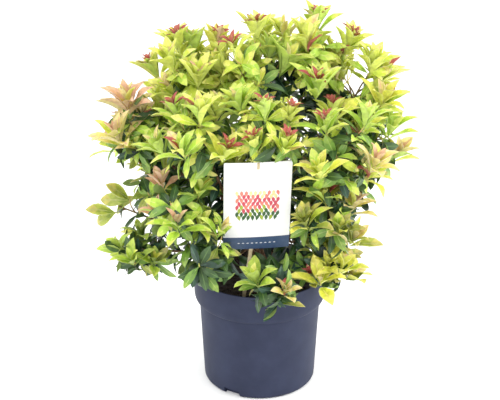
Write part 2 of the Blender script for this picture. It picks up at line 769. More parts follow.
def inside_mass(name, points, margin):
    """Whether all points lie on a mass's side of every neighbour."""
    for other, centre in CENTRES.items():
        if other != name:
            normal = unit(CENTRES[name] - centre)
            if ((points - (CENTRES[name] + centre) / 2) @ normal).min() <= margin:
                return False
    return True


def clear_of_limbs(points, radius):
    """Whether no point comes near a bough."""
    offset = points[:, None, :] - SEGMENT_FEET
    share = np.clip((offset * SEGMENT_STEPS).sum(2) / (SEGMENT_STEPS ** 2).sum(1), 0.0, 1.0)
    distance = np.linalg.norm(offset - share[..., None] * SEGMENT_STEPS, axis=2).min(0)
    return bool((distance >= SEGMENT_RADII + radius + LIMB_CLEARANCE).all())


def clear_of_pot(points):
    """Whether all points are over the rim, outside the pot, or over the soil inside it."""
    radius = np.hypot(points[:, 0], points[:, 1])
    return bool(((points[:, 2] > RIM_HEIGHT + OVER_RIM) | (radius > RIM_RADIUS + OUTSIDE_RIM)).all())


def clear_of_label(points, room=0.0):
    """Whether the points keep to one side of the card, and off the stick."""
    local = (points - CARD_CENTRE) @ CARD_AXES
    near = abs(local[:, 0]) < CARD_WIDTH / 2 + CARD_ROOM
    near &= abs(local[:, 2]) < CARD_HEIGHT / 2 + CARD_ROOM
    depth = local[:, 1]
    if near.any() and depth.min() < BEHIND_CARD + room and depth.max() > -BEFORE_CARD - room:
        return False
    local = (points - STICK_FOOT) @ STICK_AXES
    beside = (abs(local[:, 0]) < STICK_WIDTH) & (abs(local[:, 1]) < BESIDE_STICK)
    return not (beside & (local[:, 2] < STICK_LENGTH)).any()


def in_any(places, points):
    """Whether any point is seen by the camera within one of a list of places."""
    offset = points - np.array(camera.location)
    depth = offset @ -np.array(back)
    right = offset[:, 0] * CAMERA_DISTANCE / depth
    up = offset @ np.array([0.0, math.sin(CAMERA_PITCH), math.cos(CAMERA_PITCH)]) * CAMERA_DISTANCE / depth
    return any((np.hypot(right - x, up - y) < radius).any() for x, y, radius in places)


def twig_fits(name, path):
    """Whether a main twig fits in its mass."""
    bud = path[-1] + (path[-1] - path[-2]) * BUD_LENGTH
    points = np.vstack([path[1:], (path[1:-1] + path[2:]) / 2, bud])
    return (inside_mass(name, points, TWIG_MARGIN) and clear_of_pot(points)
            and clear_of_limbs(points, TWIG_RADIUS[0]) and clear_of_label(points, TWIG_RADIUS[0]))


print(len(SEGMENT_FEET), "bough segments to keep clear of")

# %% [markdown]
# ## Twigs and shoots
# The main shoots of a mass end where those of its solid end: their tips are spread by the
# golden angle over a cap round the mass's heading. A few of them are then set by hand, where
# the rosettes of the real shrub catch the eye. Between them grow finer twigs, shorter than the
# main ones, so that they stay within the same reach. Some carry a young rosette and some only
# the older, darker leaves that fill the crown behind.

# %% Shoots
CAP_ANGLE = math.radians(88)
REACH_SPREAD = (0.9, 1.08)
TURN_SPREAD = 0.2
TWIG_PULL = 0.35
TWIG_START_RANGE = 0.75
AXIS_SPREAD = 0.40
AXIS_RISE = 0.75
SHOOT_PULLS = (1.0, 0.9, 0.8, 0.7, 0.6)
SHOOT_SEED = 7
MAIN_HINT = (0.2, 0.1, 1.0)
MAIN_FIRST = 0.25
MAIN_POINTS = 8
FINE_SEED = 500
FINE_HINT = (0.5, 0.3, 0.2)
FINE_FIRST = 0.6
FINE_POINTS = 6
FINE_RADIUS = 0.0012
FINE_ROOM = 0.002
FINE_CAPS = {"young": math.radians(108), "old": math.radians(138)}
ROSETTE_SPREAD = np.array([0.40, 0.20, 0.40])
FINE_YOUNG_REACH = (0.55, 0.90)
FINE_OLD_REACH = (0.45, 0.80)
FINE_SHOOTS = {"top": (3, 11), "high": (4, 9), "middle": (4, 9), "low": (4, 6)}
FEWER_SHOOTS = {
    "upper_front": (0, 11), "upper_front_left": (1, 11), "upper_front_right": (1, 11),
    "upper_right": (1, 10), "left": (1, 5), "right": (3, 5), "front_left": (2, 7),
    "front_right": (4, 5), "low_left": (2, 3), "low_front_left": (0, 5), "low_front": (0, 4),
    "low_right": (8, 1), "low_back": (3, 5), "stray_left": (0, 0),
}
# Main shoots, by number, that the photo shows in another place, and some more that close a hole
SET_TIPS = {
    "leader": {0: (0.103, 0.025, 0.705), 4: (0.098, -0.094, 0.619)},
    "top_middle": {0: (-0.010, -0.026, 0.704), 2: (0.040, -0.049, 0.649), 5: (-0.050, -0.030, 0.572)},
    "top_left": {6: (-0.125, 0.015, 0.670)},
    "upper_front": {1: (0.046, -0.168, 0.596), 5: (-0.009, -0.197, 0.554)},
    "upper_left": {5: (-0.185, 0.028, 0.530)},
    "upper_back_left": {5: (-0.060, 0.090, 0.520), 6: (-0.075, 0.075, 0.530), 7: (-0.160, 0.065, 0.545)},
    "left": {5: (-0.185, 0.048, 0.405)},
    "back_left": {5: (-0.150, 0.085, 0.400)},
    "back": {5: (-0.050, 0.155, 0.485)},
    "front_left": {2: (-0.145, -0.193, 0.406), 5: (-0.072, -0.174, 0.384)},
    "low_front_left": {2: (-0.101, -0.179, 0.310)},
    "low_front": {3: (-0.007, -0.194, 0.296)},
    "low_right": {3: (0.109, -0.150, 0.273)},
}
SET_LEAN = math.radians(60)
# Tiers of the crown, each with the height it starts at
TIERS = (("top", 0.585), ("high", 0.52), ("middle", 0.36), ("low", -1.0))


def tier(height):
    """The tier of the crown at a height."""
    return next(name for name, floor in TIERS if height > floor)


def cap_tips(name, count, cap, start, hint, reach, chance, first):
    """Directions, tips and leans of a mass's shoots over a cap round its heading."""
    centre, full_reach = CENTRES[name], MASSES[name][1]
    heading = stem_heading(name)
    tips = []
    for index in range(count):
        lean = cap * math.sqrt((index + first) / count)
        turn = start + index * GOLDEN + chance.uniform(-TURN_SPREAD, TURN_SPREAD)
        outward = leaning(heading, hint, turn, lean)
        tips.append((outward, centre + outward * full_reach * chance.uniform(*reach), min(lean, CAP_ANGLE)))
    return tips


def twig_controls(stem, outward, tip, lean):
    """The control points of a twig from the stem to a tip, and its rosette's axis."""
    start, _ = along_path(stem, 1.0 - TWIG_START_RANGE * lean / CAP_ANGLE)
    pull = np.linalg.norm(tip - start) * TWIG_PULL
    first = (unit(stem[-1] - stem[0]) + outward) / 2
    axis = unit(outward * AXIS_SPREAD + np.array([0.0, 0.0, AXIS_RISE]))
    controls = start, start + first * pull, tip - axis * pull, tip
    return controls, unit(outward * ROSETTE_SPREAD + np.array([0.0, 0.0, AXIS_RISE]))


shoots, stems = [], {}
for index, (name, (_, _, count, first_turn)) in enumerate(MASSES.items()):
    heading, foot = stem_heading(name), stem_foot(name)
    stem = np.array([foot + heading * STEM_LENGTH * share for share in STEM_STATIONS])
    stems[name] = stem
    main_tips = cap_tips(name, count, CAP_ANGLE, math.radians(first_turn), MAIN_HINT,
                         REACH_SPREAD, np.random.default_rng(SHOOT_SEED + index), MAIN_FIRST)
    main_tips, set_tips = dict(enumerate(main_tips)), SET_TIPS.get(name, {})
    for number, tip in set_tips.items():
        main_tips[number] = unit(np.array(tip) - CENTRES[name]), np.array(tip), SET_LEAN
    for number, (outward, tip, lean) in main_tips.items():
        for pull in SHOOT_PULLS:
            drawn_in = CENTRES[name] + (tip - CENTRES[name]) * pull
            controls, axis = twig_controls(stem, outward, drawn_in, lean)
            if number in set_tips or twig_fits(name, curve(*controls, TWIG_STATIONS)):
                shoots.append((name, number, curve(*controls, MAIN_POINTS), axis))
                break
    chance = np.random.default_rng(FINE_SEED + index)
    young, old = FEWER_SHOOTS.get(name, FINE_SHOOTS[tier(CENTRES[name][2])])
    for kind, few, reach in (("young", young, FINE_YOUNG_REACH), ("old", old, FINE_OLD_REACH)):
        start = chance.uniform(0, 2 * math.pi)
        for outward, tip, lean in cap_tips(name, few, FINE_CAPS[kind], start, FINE_HINT, reach, chance,
                                           FINE_FIRST):
            controls, axis = twig_controls(stem, outward, tip, lean)
            path = curve(*controls, FINE_POINTS)
            if kind == "old" and in_any(SKY_GAPS, path):
                continue
            if (clear_of_pot(path[1:]) and clear_of_limbs(path[2:], FINE_RADIUS)
                    and clear_of_label(path, FINE_ROOM)):
                shoots.append((name, kind, path, axis))
print(len(shoots), "shoots,", sum(s[1] == "young" for s in shoots), "fine young,",
      sum(s[1] == "old" for s in shoots), "fine old")

# %% [markdown]
# ## Twig colours
# Older wood near the stem is brown. The young stem under a rosette is green, flushed with
# pink on its sunny side, and shows between the leaves at the top of the crown.

# %% Twig materials and meshes
# The young stem has a satin green skin with patches of pink, and the twig's thin bark is duller
young_stem = finish("young_stem_green", 0.5, 11, [(0.35, "#B9C25A"), (0.55, "#C3B06A"), (0.7, "#C08A68")])
twig_bark = finish("twig_bark_brown", 0.75, 4, [(0.35, "#5C4630"), (0.55, "#86704A"), (0.75, "#9C8F5C")],
                   detail=4.0)

STEM_RADIUS = (0.0022, 0.0015)
TWIG_DRAWN = (TWIG_RADIUS[0], TWIG_RADIUS[1] * 0.85)
BUD_RISE = 0.004
BUD_RADIUS = 0.0004
TWIG_SIDES = 5

woody, green = [], []
for stem in stems.values():
    woody.append(tube(stem, np.linspace(*STEM_RADIUS, len(stem)), TWIG_SIDES + 1))
for name, kind, path, axis in shoots:
    radii = np.linspace(*TWIG_DRAWN, len(path))
    split = len(path) // 2
    woody.append(tube(path[:split + 1], radii[:split + 1], TWIG_SIDES))
    end = np.vstack([path[split:], path[-1] + axis * BUD_RISE])
    (woody if kind == "old" else green).append(tube(end, np.append(radii[split:], BUD_RADIUS), TWIG_SIDES))
place_on(join_shapes("woody_twigs", woody, [twig_bark]), "bark")
place_on(join_shapes("young_stems", green, [young_stem]), "leaf")

# %% [markdown]
# ## The shape of a leaf
# A pieris leaf is narrow, widest beyond its middle, folded a little along the rib and
# curved back at its tip. It is modelled once: a grid of seven by three faces, shaped by
# an outline formula, is the upper side, and a second grid of two lanes, let down in the
# middle, closes it to a thin lens. Both ends come to one point. Faces get a slot by where
# they lie: the blade's foot, middle and tip, the rib, and the underside, so that each part
# keeps its own colour. A few variants with other curls and waves avoid a stamped look.

# %% Leaf templates
LEAF_COLUMNS = (0.0, 0.09, 0.24, 0.42, 0.60, 0.77, 0.91, 1.0)
UPPER_LANES = (-1.0, -0.10, 0.10, 1.0)
LOWER_LANES = (-1.0, 0.0, 1.0)
LEAF_DEPTH = 0.013
WIDEST = 0.59
FOOT_SLOPE = 1.42
BEND = 2.3
TWIST_FROM = 0.4
WAVES = 9
SHORTER_BY_CURL = 0.3
FOOT_END = 0.30
MIDDLE_END = 0.68
FOOT_SLOT, MIDDLE_SLOT, TIP_SLOT, RIB_SLOT, UNDER_SLOT = range(5)


def leaf_outline(share):
    """Half the blade's width at a share of its length, as a part of the full width."""
    slope = FOOT_SLOPE, FOOT_SLOPE * (1 - WIDEST) / WIDEST
    peak = WIDEST ** slope[0] * (1 - WIDEST) ** slope[1]
    return 0.5 * share ** slope[0] * (1 - share) ** slope[1] / peak


def leaf_template(curl, fold, wave, twist):
    """One leaf of unit length and width: points, triangles and the slot of each triangle."""
    bm = bmesh.new()
    columns = len(LEAF_COLUMNS) - 1
    for lanes, depth in ((UPPER_LANES, 0.0), (LOWER_LANES, LEAF_DEPTH)):
        made = bmesh.ops.create_grid(bm, x_segments=columns, y_segments=len(lanes) - 1, size=0.5)["verts"]
        for v in made:
            share = LEAF_COLUMNS[round((v.co.x + 0.5) * columns)]
            lane = lanes[round((v.co.y + 0.5) * (len(lanes) - 1))]
            half = leaf_outline(share)
            rise = 2 * half * (fold * abs(lane) + twist * lane * (share - TWIST_FROM))
            rise += 2 * half * wave * abs(lane) * math.sin(WAVES * share + lane) - curl * share ** BEND
            rise -= depth * (1 - abs(lane)) * min(1.0, 4 * half)
            v.co = (share - SHORTER_BY_CURL * curl * share ** 3, lane * half, rise)
    bmesh.ops.remove_doubles(bm, verts=bm.verts, dist=1e-5)
    bmesh.ops.triangulate(bm, faces=bm.faces[:])
    bmesh.ops.recalc_face_normals(bm, faces=bm.faces)
    faces, slots = [], []
    for face in bm.faces:
        place = face.calc_center_median().x
        faces.append([v.index for v in face.verts])
        if face.normal.z < 0:
            slots.append(UNDER_SLOT)
        elif all(abs(v.co.y) <= 1.01 * UPPER_LANES[2] * leaf_outline(v.co.x) for v in face.verts):
            slots.append(RIB_SLOT)
        else:
            slots.append(FOOT_SLOT if place < FOOT_END else MIDDLE_SLOT if place < MIDDLE_END else TIP_SLOT)
    points = np.array([v.co[:] for v in bm.verts])
    bm.free()
    return points, np.array(faces), np.array(slots)


# Curl, fold, wave and twist of each variant
SPREAD_LEAVES, UPRIGHT_LEAVES, OLD_LEAVES = [[leaf_template(*form) for form in forms] for forms in (
    ((0.26, 0.08, 0.02, 0.04), (0.36, 0.07, 0.03, -0.06), (0.46, 0.09, 0.02, 0.02),
     (0.32, 0.06, 0.04, 0.08)),
    ((0.12, 0.11, 0.01, 0.02), (0.24, 0.10, 0.02, -0.03), (0.36, 0.09, 0.02, 0.04)),
    ((0.10, 0.05, 0.01, 0.02), (0.24, 0.04, 0.01, -0.04), (0.38, 0.06, 0.01, 0.05)),
)]
print("faces in a leaf:", len(OLD_LEAVES[0][1]))

# %% [markdown]
# ## Dealing out the leaves
# A young rosette has ten or so leaves round the tip, the outer ones open and the inner
# ones closed like a tulip. Its tint is dealt out by shoot: most are lime, some yellow or
# fresh green, and some flushed pink. The heart is of the same tint, or paler, or a small rose
# tuft of the newest leaves. A line of short words sets this for the main shoots of each mass in
# view, and weighted chance for all others. Older leaves stand in looser whorls further down the
# twig, dark and leathery, but still fresh green high in the crown, where the light reaches them.

# %% Tints by mass
COMMON_FLUSH = {"lime": 0.60, "yellow": 0.20, "fresh": 0.20}
FLUSH = {
    "leader": {"lime": 0.60, "yellow": 0.30, "fresh": 0.10},
    "top_right": {"lime": 0.55, "fresh": 0.30, "yellow": 0.15},
    "upper_left": {"dawn": 0.35, "blush": 0.15, "lime": 0.35, "fresh": 0.15},
    "upper_right": {"lime": 0.60, "fresh": 0.25, "yellow": 0.15},
    "front_left": {"lime": 0.55, "blush": 0.15, "yellow": 0.30},
    "front_right": {"yellow": 0.60, "lime": 0.30, "olive": 0.10},
    "left": {"olive": 0.35, "fresh": 0.35, "spring": 0.30},
    "right": {"lime": 0.45, "olive": 0.30, "yellow": 0.25},
    "stray_left": {"olive": 1.0},
    "low_left": {"spring": 1.0},
    "low_front": {"spring": 1.0},
    "low_right": {"yellow": 0.60, "olive": 0.40},
}
# What the photo shows on a mass's main shoots: tint, heart, scale if not 1, opening if not usual
SHOOT_LOOKS = {
    "leader": "fresh/rose lime/dawn lime/rose lime/same fresh/rose/1.15/22",
    "top_middle": "lime/rose lime/rose fresh/dawn/1.2/20 lime/same old old",
    "top_left": "lime/rose lime/dawn yellow/rose lime/rose lime/blush lime/dawn fresh/same",
    "top_back": "lime/dawn lime/same lime/same lime/same lime/same",
    "top_right": "lime/same lime/dawn lime/same yellow/dawn",
    "upper_back_left": "lime/same lime/same lime/dawn lime/same lime/same old old lime/same",
    "back": "lime/same lime/same lime/dawn lime/same lime/same old",
    "back_left": "lime/same lime/dawn lime/rose fresh/same lime/same old",
    "upper_left": "blush/dawn/1.2 dawn/blush/1.2 dawn/blush/1.2 lime/same lime/blush fresh/dawn",
    "upper_front_left": "lime/dawn fresh/rose fresh/same lime/dawn fresh/dawn lime/rose",
    "upper_front": "fresh/rose/0.8 lime/rose/0.75 fresh/dawn lime/rose/0.8 old lime/rose/0.85",
    "upper_front_right": "fresh/same fresh/rose dawn/blush/1.1 lime/rose yellow/same",
    "upper_right": "fresh/same/1.15 fresh/same fresh/same dawn/blush/1.1 fresh/same",
    "left": "lime/dawn old old fresh/same old old",
    "front_left": "old blush/dawn/0.8 fresh/blush/1.1/62 fresh/same old fresh/dawn/1.1/48",
    "front": "lime/same lime/same old lime/same",
    "front_right": "dawn/blush yellow/same olive/dawn yellow/same olive/same/1.15",
    "right": "old fresh/same old fresh/same",
    "low_left": "spring/same/1.1 spring/same/1.1 spring/same old",
    "low_front_left": "old old old old",
    "low_front": "dawn/same/0.7 old old spring/same/1.05/34",
    "low_right": "yellow/same/1.2/50 yellow/dawn/1.2 yellow/same/1.2/50 yellow/dawn/1.25/60",
}
YOUNG_SHARE = {"low_back": 0.6, "back_right": 0.7}
HEARTS = {"rose": 0.10, "dawn": 0.25, "yellow": 0.25, "same": 0.40}
OUTER_TINTS = {
    "top": {"lime": 0.55, "yellow": 0.10, "fresh": 0.35},
    "high": {"lime": 0.14, "fresh": 0.32, "mature": 0.32, "dark": 0.22},
    "middle": {"fresh": 0.22, "olive": 0.14, "mature": 0.36, "dark": 0.24, "shade": 0.04},
    "low": {"olive": 0.10, "mature": 0.38, "dark": 0.42, "shade": 0.10},
}
INNER_TINTS = {
    "top": {"lime": 0.30, "fresh": 0.45, "mature": 0.25},
    "high": {"fresh": 0.16, "mature": 0.32, "dark": 0.34, "shade": 0.18},
    "middle": {"mature": 0.24, "dark": 0.50, "shade": 0.26},
    "low": {"mature": 0.12, "dark": 0.52, "shade": 0.36},
}


def pick(weights, chance):
    """One name by its share."""
    names = list(weights)
    shares = np.array([weights[n] for n in names])
    return names[int(chance.choice(len(names), p=shares / shares.sum()))]


def any_of(shapes, chance):
    """One of a list of leaf shapes."""
    return shapes[int(chance.integers(len(shapes)))]


def shoot_look(name, kind, tip, chance):
    """Tint, heart, scale and opening of a shoot's rosette; no tint means old leaves only."""
    looks = SHOOT_LOOKS.get(name, "").split()
    if isinstance(kind, int) and kind < len(looks):
        tint, heart, scale, opening = (looks[kind] + "///").split("/")[:4]
        return (tint if heart else None), heart, float(scale or 1.0), float(opening or 0.0)
    if kind == "old" or in_any(HOLLOWS, tip[None]) or chance.random() > YOUNG_SHARE.get(name, 1.0):
        return None, None, 1.0, 0.0
    return pick(FLUSH.get(name, COMMON_FLUSH), chance), pick(HEARTS, chance), 1.0, 0.0


print("looks set for", len(SHOOT_LOOKS), "masses, flush tints for", len(FLUSH))

# %% Placing a leaf
# The leaves are kept off the card's face: only one rosette laps over a corner of it
REACH_PAST = 0.012
LABEL_OVERLAP = 0.005
CORNER_OVERLAP = 0.017
CAD_LOW, CAD_HIGH = np.array(CAD_BOX[0]), np.array(CAD_BOX[1])
TO_CAMERA = np.array(back) @ CARD_AXES
LEAF_FLOOR = 0.240
HOLLOW_TINTS = {"mature": 0.20, "dark": 0.44, "shade": 0.36}
LEAF_FLOORS = {"low_front": 0.194, "low_right": 0.190, "low_left": 0.244, "low_front_left": 0.252}
leaf_deal = {}


def hides_card(points):
    """Whether any point stands in front of the card, as the camera sees it."""
    local = (points - CARD_CENTRE) @ CARD_AXES
    ahead = local[:, 1] < 0.0
    flat = local - np.outer(local[:, 1] / TO_CAMERA[1], TO_CAMERA)
    over = abs(flat[:, 2]) < CARD_HEIGHT / 2 - LABEL_OVERLAP
    over &= flat[:, 0] < CARD_WIDTH / 2 - LABEL_OVERLAP
    over &= flat[:, 0] > np.where(flat[:, 2] < 0, CORNER_OVERLAP, LABEL_OVERLAP) - CARD_WIDTH / 2
    return bool((ahead & over).any())


def add_leaf(tint, template, root, axis, along, length, width, roll, name, limbs=True):
    """Put one leaf on the plant, unless it would pierce the card, the pot or a bough."""
    normal = across(along, axis)
    side = np.cross(normal, along)
    normal, side = (math.cos(roll) * normal + math.sin(roll) * side,
                    math.cos(roll) * side - math.sin(roll) * normal)
    placed = root + (template[0] * np.array([length, width, length])) @ np.array([along, side, normal])
    if (placed < CAD_LOW - REACH_PAST).any() or (placed > CAD_HIGH + REACH_PAST).any():
        return False
    if placed[:, 2].min() < LEAF_FLOORS.get(name, LEAF_FLOOR) or not clear_of_pot(placed):
        return False
    if not clear_of_label(placed) or hides_card(placed) or in_any(SKY_GAPS, placed):
        return False
    if limbs and not clear_of_limbs(placed[placed @ along > root @ along + length / 4], 0.0):
        return False
    leaf_deal.setdefault(tint, []).append((placed, template[1], template[2]))
    return True


print("card seen along", TO_CAMERA.round(2))

# %% Rosettes
YOUNG_LENGTH = 0.058
YOUNG_WIDTH = 0.0192
ROSETTE_COUNTS = {"top": (11, 15), "high": (10, 14), "middle": (9, 12), "low": (7, 10)}
ROSETTE_OPENINGS = {"top": (22, 36), "high": (30, 46), "middle": (38, 54), "low": (38, 56)}
ROSETTE_SIZES = {"top": 1.14, "high": 1.08, "middle": 1.02, "low": 0.98}
ROSETTE_BREADTHS = {"top": 0.95, "high": 0.92, "middle": 1.06, "low": 1.24}
OLD_LENGTH = 0.050
OLD_WIDTH = 0.0165
OLD_OPENINGS = (50, 92)
OLD_PLAY = (0.78, 1.12)
OLD_ROLLS = (-0.5, 0.5)
# Stretches of a twig with older leaves, and how many: outer and inner, on an old and a young shoot
OLD_SHOOT_WHORLS = ((0.55, 1.0, 7), (0.15, 0.55, 4))
YOUNG_SHOOT_WHORLS = ((0.45, 0.75, 4), (0.10, 0.45, 4))
OLD_DROOP = np.array([0.0, 0.0, -0.06])
LEAF_HINT = (0.7, -0.4, 0.2)
LEAF_STEP = 0.0020
STEEP = math.radians(26)
ACCENT_SHARES = {"top": 0.32, "high": 0.40, "middle": 0.25, "low": 0.08}
ACCENTS = {"rose": 0.60, "blush": 0.40}
DAWN_CHANCE = 0.05
OTHER_TINT_CHANCE = 0.12
ROSETTE_TURNS = (-0.15, 0.15)
ROSETTE_RISE = 0.004
ROSETTE_ROLLS = (-0.3, 0.3)
INNERMOST = 6
OPENING_PLAY = (-6, 6)
LEAF_PLAY = (0.88, 1.10)
SHRINKS = (1.0, 0.8, 0.6)
TUFT_LEAVES = 7
TUFT_RISE = 0.016
TUFT_LENGTH = 0.032
TUFT_WIDTH = 0.0088
TUFT_OPENINGS = (40, 6)
FINE_SCALE = 0.86
HEART_FROM = 0.78
HEART_NARROWER = 0.78
STRAY_LENGTH = 0.058
STRAY_WIDTH = 0.025
STRAY_HINT = (-1.0, 0.0, 0.0)
STRAY_TURNS = ((0, 88, 1.0), (30, 40, 0.9), (-150, 70, -0.6))


def young_rosette(name, tip, axis, tint, heart, count, widest, broad, chance, scale):
    """The young leaves round a shoot's tip, from the open outer ones to the closed heart."""
    start = chance.uniform(0, 2 * math.pi)
    accent = int(chance.integers(1, count - 2)) if chance.random() < ACCENT_SHARES[tier(tip[2])] else -1
    for index in range(count):
        rank = index / (count - 1)
        turn = start + index * GOLDEN + chance.uniform(*ROSETTE_TURNS)
        opening = math.radians(widest - (widest - INNERMOST) * rank ** 1.2 + chance.uniform(*OPENING_PLAY))
        root = tip + axis * (ROSETTE_RISE - LEAF_STEP * (count - index))
        size = scale * (1.04 - 0.50 * rank ** 1.8) * chance.uniform(*LEAF_PLAY)
        wide = broad * (HEART_NARROWER if rank > HEART_FROM else 1.0)
        shape = UPRIGHT_LEAVES if opening < STEEP else SPREAD_LEAVES
        colour = tint
        if index == accent:
            colour = pick(ACCENTS, chance)
        elif rank > HEART_FROM and heart in ("dawn", "blush", "yellow"):
            colour = heart
        elif tint != "spring" and chance.random() < DAWN_CHANCE:
            colour = "dawn"
        elif chance.random() < OTHER_TINT_CHANCE:
            colour = pick(COMMON_FLUSH, chance)
        for shrink in SHRINKS:
            if add_leaf(colour, any_of(shape, chance), root, axis, leaning(axis, LEAF_HINT, turn, opening),
                        YOUNG_LENGTH * size * shrink, YOUNG_WIDTH * size ** 0.8 * wide * shrink,
                        chance.uniform(*ROSETTE_ROLLS), name, False):
                break


def heart_tuft(name, tip, axis, tint, chance, scale):
    """The newest leaves at the top of a shoot: a small star of narrow ones."""
    start = chance.uniform(0, 2 * math.pi)
    for index in range(TUFT_LEAVES):
        rank = index / (TUFT_LEAVES - 1)
        opening = TUFT_OPENINGS[0] * (1 - rank) + TUFT_OPENINGS[1] * rank + chance.uniform(*OPENING_PLAY)
        along = leaning(axis, LEAF_HINT, start + index * GOLDEN, math.radians(opening))
        size = scale * (1.0 - 0.25 * rank) * chance.uniform(0.85, 1.1)
        add_leaf(tint, any_of(SPREAD_LEAVES, chance), tip + axis * TUFT_RISE, axis, along,
                 TUFT_LENGTH * size, TUFT_WIDTH * size, chance.uniform(*ROSETTE_ROLLS), name, False)


def old_whorl(name, path, low, high, count, tints, chance, limbs=True):
    """Older leaves along a stretch of a twig."""
    start = chance.uniform(0, 2 * math.pi)
    for index in range(count):
        share = low + (high - low) * (index + chance.uniform(0, 0.6)) / count
        root, axis = along_path(path, min(share, 0.98))
        opening = math.radians(chance.uniform(*OLD_OPENINGS))
        along = unit(leaning(axis, LEAF_HINT, start + index * GOLDEN, opening) + OLD_DROOP)
        size = chance.uniform(*OLD_PLAY)
        shares = HOLLOW_TINTS if in_any(HOLLOWS, (root + along * OLD_LENGTH / 2)[None]) else tints
        for shrink in SHRINKS[:2]:
            if add_leaf(pick(shares, chance), any_of(OLD_LEAVES, chance), root, axis, along,
                        OLD_LENGTH * size * shrink, OLD_WIDTH * size * shrink,
                        chance.uniform(*OLD_ROLLS), name, limbs):
                break


def stray_leaves(name, path, axis, tint, chance):
    """A few large open leaves at the end of a bare twig, turned to the light in front."""
    for turn, opening, roll in STRAY_TURNS:
        along = leaning(axis, STRAY_HINT, math.radians(turn), math.radians(opening))
        size = chance.uniform(0.9, 1.1)
        add_leaf(tint, any_of(OLD_LEAVES, chance), path[-1], axis, along,
                 STRAY_LENGTH * size, STRAY_WIDTH * size, roll, name, False)


for name, kind, path, axis in shoots:
    chance = np.random.default_rng([int(abs(value) * 1e5) for value in path[-1]])
    level = tier(path[-1][2])
    outer, inner = OUTER_TINTS[level], INNER_TINTS[level]
    tint, heart, scale, opening = shoot_look(name, kind, path[-1], chance)
    if name == "stray_left":
        stray_leaves(name, path, axis, tint, chance)
        continue
    if tint is None:
        for stretch, tints in zip(OLD_SHOOT_WHORLS, (outer, inner)):
            old_whorl(name, path, *stretch, tints, chance)
        continue
    count = int(chance.integers(*ROSETTE_COUNTS[level]))
    widest, broad = opening or chance.uniform(*ROSETTE_OPENINGS[level]), ROSETTE_BREADTHS[level]
    scale *= ROSETTE_SIZES[level] * (FINE_SCALE if kind == "young" else 1.0)
    young_rosette(name, path[-1], axis, tint, heart, count, widest, broad, chance, scale)
    if heart == "rose":
        heart_tuft(name, path[-1], axis, "rose", chance, scale)
    if not opening:
        old_whorl(name, path, *YOUNG_SHOOT_WHORLS[0], outer, chance)
    old_whorl(name, path, *YOUNG_SHOOT_WHORLS[1], inner, chance)
print({tint: len(rows) for tint, rows in leaf_deal.items()})

# %% [markdown]
# ## Leaves inside the crown
# Under the young flush the boughs carry older leaves too, on very short spurs. They close
# the view into the crown, and the sky still shows through where few boughs pass.

# %% Inner leaves
SPUR_SPACING = 0.0052
SPUR_SEED = 91
BARE_SHARE = (0.15, 0.35)
FINE_STATIONS = 24
STEM_WHORL = (0.0, 0.9, 6)

chance = np.random.default_rng(SPUR_SEED)
for name, controls in limb_controls.items():
    fine = curve(*controls, FINE_STATIONS)
    bare = BARE_SHARE[name in MAIN_BOUGHS]
    count = int(path_length(fine) * (1 - bare) / SPUR_SPACING)
    tints = INNER_TINTS[tier(fine[FINE_STATIONS // 2][2])]
    old_whorl(name, fine, bare, 1.0, count, tints, chance, limbs=False)
for name, stem in stems.items():
    old_whorl(name, stem, *STEM_WHORL, INNER_TINTS[tier(stem[0][2])], chance, limbs=False)
print({tint: len(rows) for tint, rows in leaf_deal.items()}, "in all", sum(map(len, leaf_deal.values())))

# %% [markdown]
# ## Leaf materials
# A leaf's skin is a waxy cuticle. On young leaves it is thin and satin, and the blade
# is yellow-green with paler tips. Light also passes a little way through its thin edges, which
# a weak subsurface scattering gives. On old leaves it is thick: they are dark, leathery
# and catch a clear highlight. Each colour is its own plain material with a faint mottle,
# 9 mm wide, and the veins' fine network as a bump, 1.6 mm wide to show.

# %% Leaf colours
TINTS = {
    "lime": ("#A8BE3C", "#BECE48", "#DAD86E", "#D4D678", "#C8D268"),
    "yellow": ("#B2BE3E", "#CACC4C", "#DED668", "#DAD472", "#CED066"),
    "fresh": ("#8AB03A", "#A2C244", "#C0CE5E", "#BCCE6C", "#ACC45E"),
    "dawn": ("#B4C048", "#CDBC70", "#D6C084", "#CFA088", "#CDBE88"),
    "blush": ("#BDAA5A", "#C89A78", "#CEA284", "#D8AE94", "#C8AA8C"),
    "rose": ("#A85636", "#A4483E", "#9C4446", "#BA6660", "#A45854"),
    "spring": ("#80A036", "#98B242", "#AABE4E", "#B0C064", "#9AAE54"),
    "olive": ("#7A8C38", "#8E9846", "#A69E58", "#A4A864", "#8E9A50"),
    "mature": ("#54762C", "#668836", "#7C963E", "#8CA256", "#869C56"),
    "dark": ("#253A1A", "#2E4920", "#385428", "#506A38", "#567044"),
    "shade": ("#1B2E22", "#213A2A", "#294534", "#42604A", "#486450"),
}
LEATHERY = ("mature", "dark", "shade")
LEAF_GLOW = {"rose": 0.15, "blush": 0.25}
COMMON_GLOW = 0.35
LEAF_GLOW_DEPTH = 0.002
LEAF_GLOW_COLOUR = (1.0, 1.0, 0.35)
# Roughness, specular level and coat weight of a leaf's skin
OLD_SKIN = (0.38, 0.40, 0.14)
YOUNG_SKIN = (0.50, 0.36, 0.06)
PARTS = ("foot", "middle", "tip", "rib", "underside")


def shade_by(hex_colour, factor):
    """A hex colour made lighter or darker by a factor."""
    parts = [min(255, int(int(hex_colour[i:i + 2], 16) * factor)) for i in (1, 3, 5)]
    return "#" + "".join(f"{p:02X}" for p in parts)


